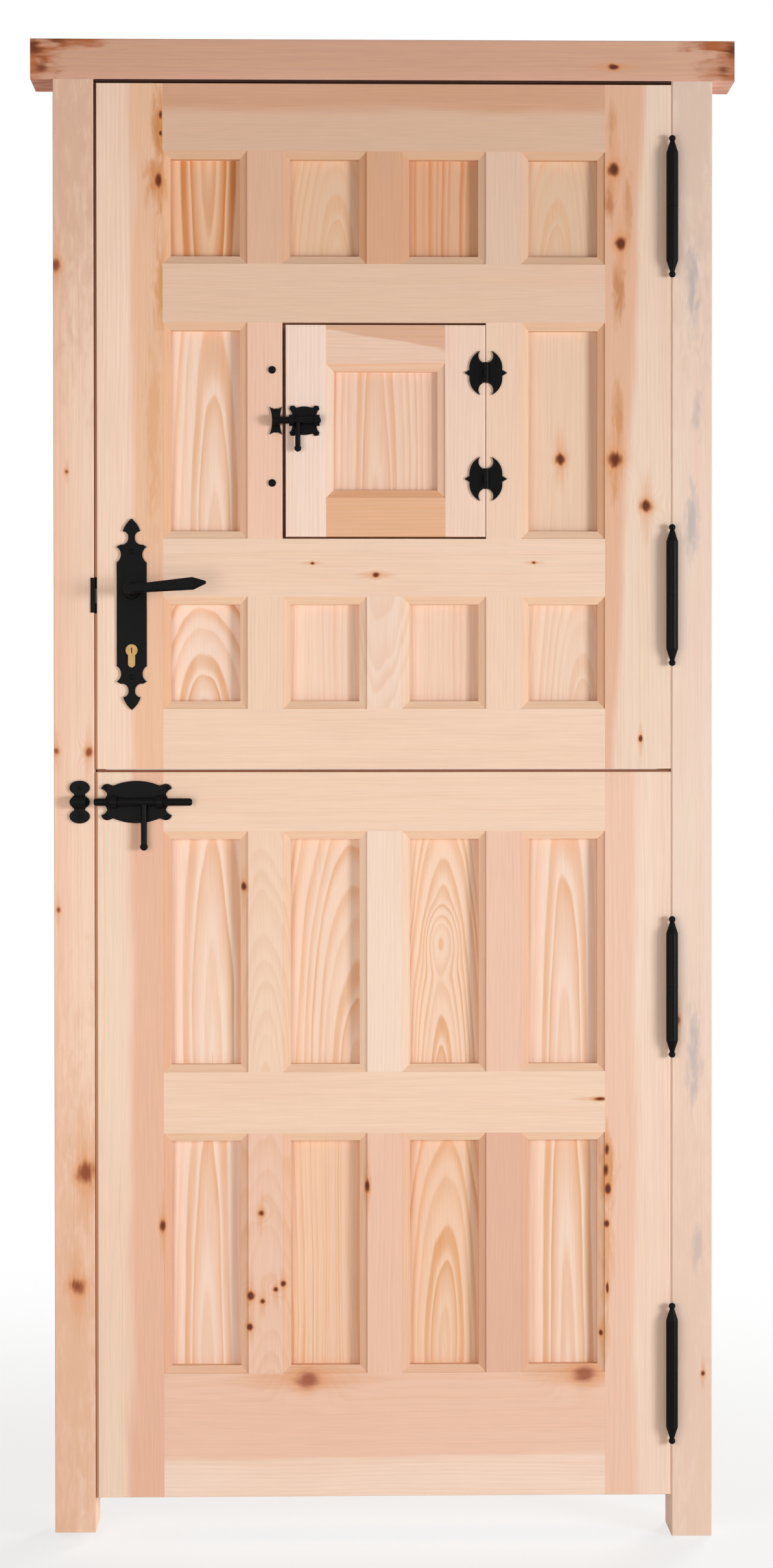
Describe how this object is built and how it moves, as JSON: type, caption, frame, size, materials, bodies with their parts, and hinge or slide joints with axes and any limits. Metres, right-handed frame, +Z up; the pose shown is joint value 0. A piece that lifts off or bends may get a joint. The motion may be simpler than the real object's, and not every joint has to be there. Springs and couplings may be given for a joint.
{
  "type": "wooden front door",
  "caption": "Two-part panelled pine front door hung in its frame, with a small hatch, forged iron hinges, bolts and levers, and a mortise lock.",
  "frame": {"origin": "midway between the jambs, on the middle plane of the leaves, at the level of the longer jamb's foot", "axes": "+X along the wall towards the hinges, +Y from the room to the outside, +Z up"},
  "size_m": [1.0104, 0.159, 2.153],
  "materials": {
    "pine": "matte",
    "black_iron": "satin",
    "lock_steel": "satin",
    "brass": "satin",
    "seal": "matte"
  },
  "bodies": {
    "frame": {"strike_jamb": "pine", "hinge_jamb": "pine", "head": "pine", "strike_stop": "pine", "hinge_stop": "pine", "head_stop": "pine", "strike_plate": "black_iron", "bolt_keeper": "black_iron", "jamb_hinge_halves": "black_iron"},
    "upper_leaf": {"upper_bottom_rail": "pine", "rail_under_hatch": "pine", "rail_over_hatch": "pine", "upper_top_rail": "pine", "upper_lock_stile": "pine", "upper_hinge_stile": "pine", "upper_leaf_low_muntins": "pine", "upper_leaf_low_panels": "pine", "upper_leaf_top_muntins": "pine", "upper_leaf_top_panels": "pine", "hatch_side_muntins": "pine", "hatch_side_panels": "pine", "hatch_stops": "pine", "upper_hinge_halves": "black_iron", "lock_case": "lock_steel", "lock_faceplate": "lock_steel", "lock_cylinder": "brass", "inner_plate": "black_iron", "outer_plate": "black_iron", "hatch_keeper": "black_iron", "hatch_hinge_fixed_halves": "black_iron", "grille": "black_iron", "grille_bolts": "black_iron"},
    "lower_leaf": {"lower_bottom_rail": "pine", "lower_middle_rail": "pine", "lower_top_rail": "pine", "lower_lock_stile": "pine", "lower_hinge_stile": "pine", "lower_leaf_low_muntins": "pine", "lower_leaf_low_panels": "pine", "lower_leaf_high_muntins": "pine", "lower_leaf_high_panels": "pine", "meeting_seal": "seal", "lower_hinge_halves": "black_iron", "bolt_plate": "black_iron"},
    "hatch": {"hatch_lock_stile": "pine", "hatch_hinge_stile": "pine", "hatch_bottom_rail": "pine", "hatch_top_rail": "pine", "hatch_panel": "pine", "hatch_hinge_moving_halves": "black_iron", "hatch_bolt_plate": "black_iron"},
    "lever": {"inner_lever": "black_iron", "outer_lever": "black_iron", "spindle": "lock_steel", "follower": "lock_steel"},
    "latch": {"latch_bolt": "lock_steel"},
    "cylinder": {"cylinder_plug": "brass"},
    "dead_bolt": {"dead_bolt": "lock_steel"},
    "lower_bolt": {"lower_bolt": "black_iron"},
    "hatch_bolt": {"hatch_bolt": "black_iron"}
  },
  "joints": [
    {"name": "upper_leaf_swing", "type": "hinge", "parent": "frame", "child": "upper_leaf", "pos_m": [0.4145, -0.0315, 1.357], "axis": [0, 0, 1], "range_deg": [0, 120]},
    {"name": "lower_leaf_swing", "type": "hinge", "parent": "frame", "child": "lower_leaf", "pos_m": [0.4145, -0.0315, 0.237], "axis": [0, 0, 1], "range_deg": [0, 120]},
    {"name": "hatch_swing", "type": "hinge", "parent": "upper_leaf", "child": "hatch", "pos_m": [0.1471, -0.0275, 1.6], "axis": [0, 0, 1], "range_deg": [0, 110]},
    {"name": "lever_turn", "type": "hinge", "parent": "upper_leaf", "child": "lever", "pos_m": [-0.36125, 0, 1.363], "axis": [0, 1, 0], "range_deg": [0, 40], "stiffness_Nm_per_rad": 1, "springref_deg": -28.65},
    {"name": "latch_slide", "type": "slide", "parent": "upper_leaf", "child": "latch", "axis": [1, 0, 0], "range_m": [0, 0.012]},
    {"name": "cylinder_turn", "type": "hinge", "parent": "upper_leaf", "child": "cylinder", "pos_m": [-0.36125, 0, 1.278], "axis": [0, -1, 0], "range_deg": [0, 360]},
    {"name": "dead_bolt_throw", "type": "slide", "parent": "upper_leaf", "child": "dead_bolt", "axis": [-1, 0, 0], "range_m": [0, 0.02]},
    {"name": "lower_bolt_slide", "type": "slide", "parent": "lower_leaf", "child": "lower_bolt", "axis": [-1, 0, 0], "range_m": [0, 0.034]},
    {"name": "hatch_bolt_slide", "type": "slide", "parent": "hatch", "child": "hatch_bolt", "axis": [1, 0, 0], "range_m": [0, 0.02]}
  ],
  "couplings": [
    {"joint": "latch_slide", "follows": "lever_turn", "m_per_rad": 0.01718},
    {"joint": "cylinder_turn", "follows": "dead_bolt_throw", "rad_per_m": 314.15}
  ]
}
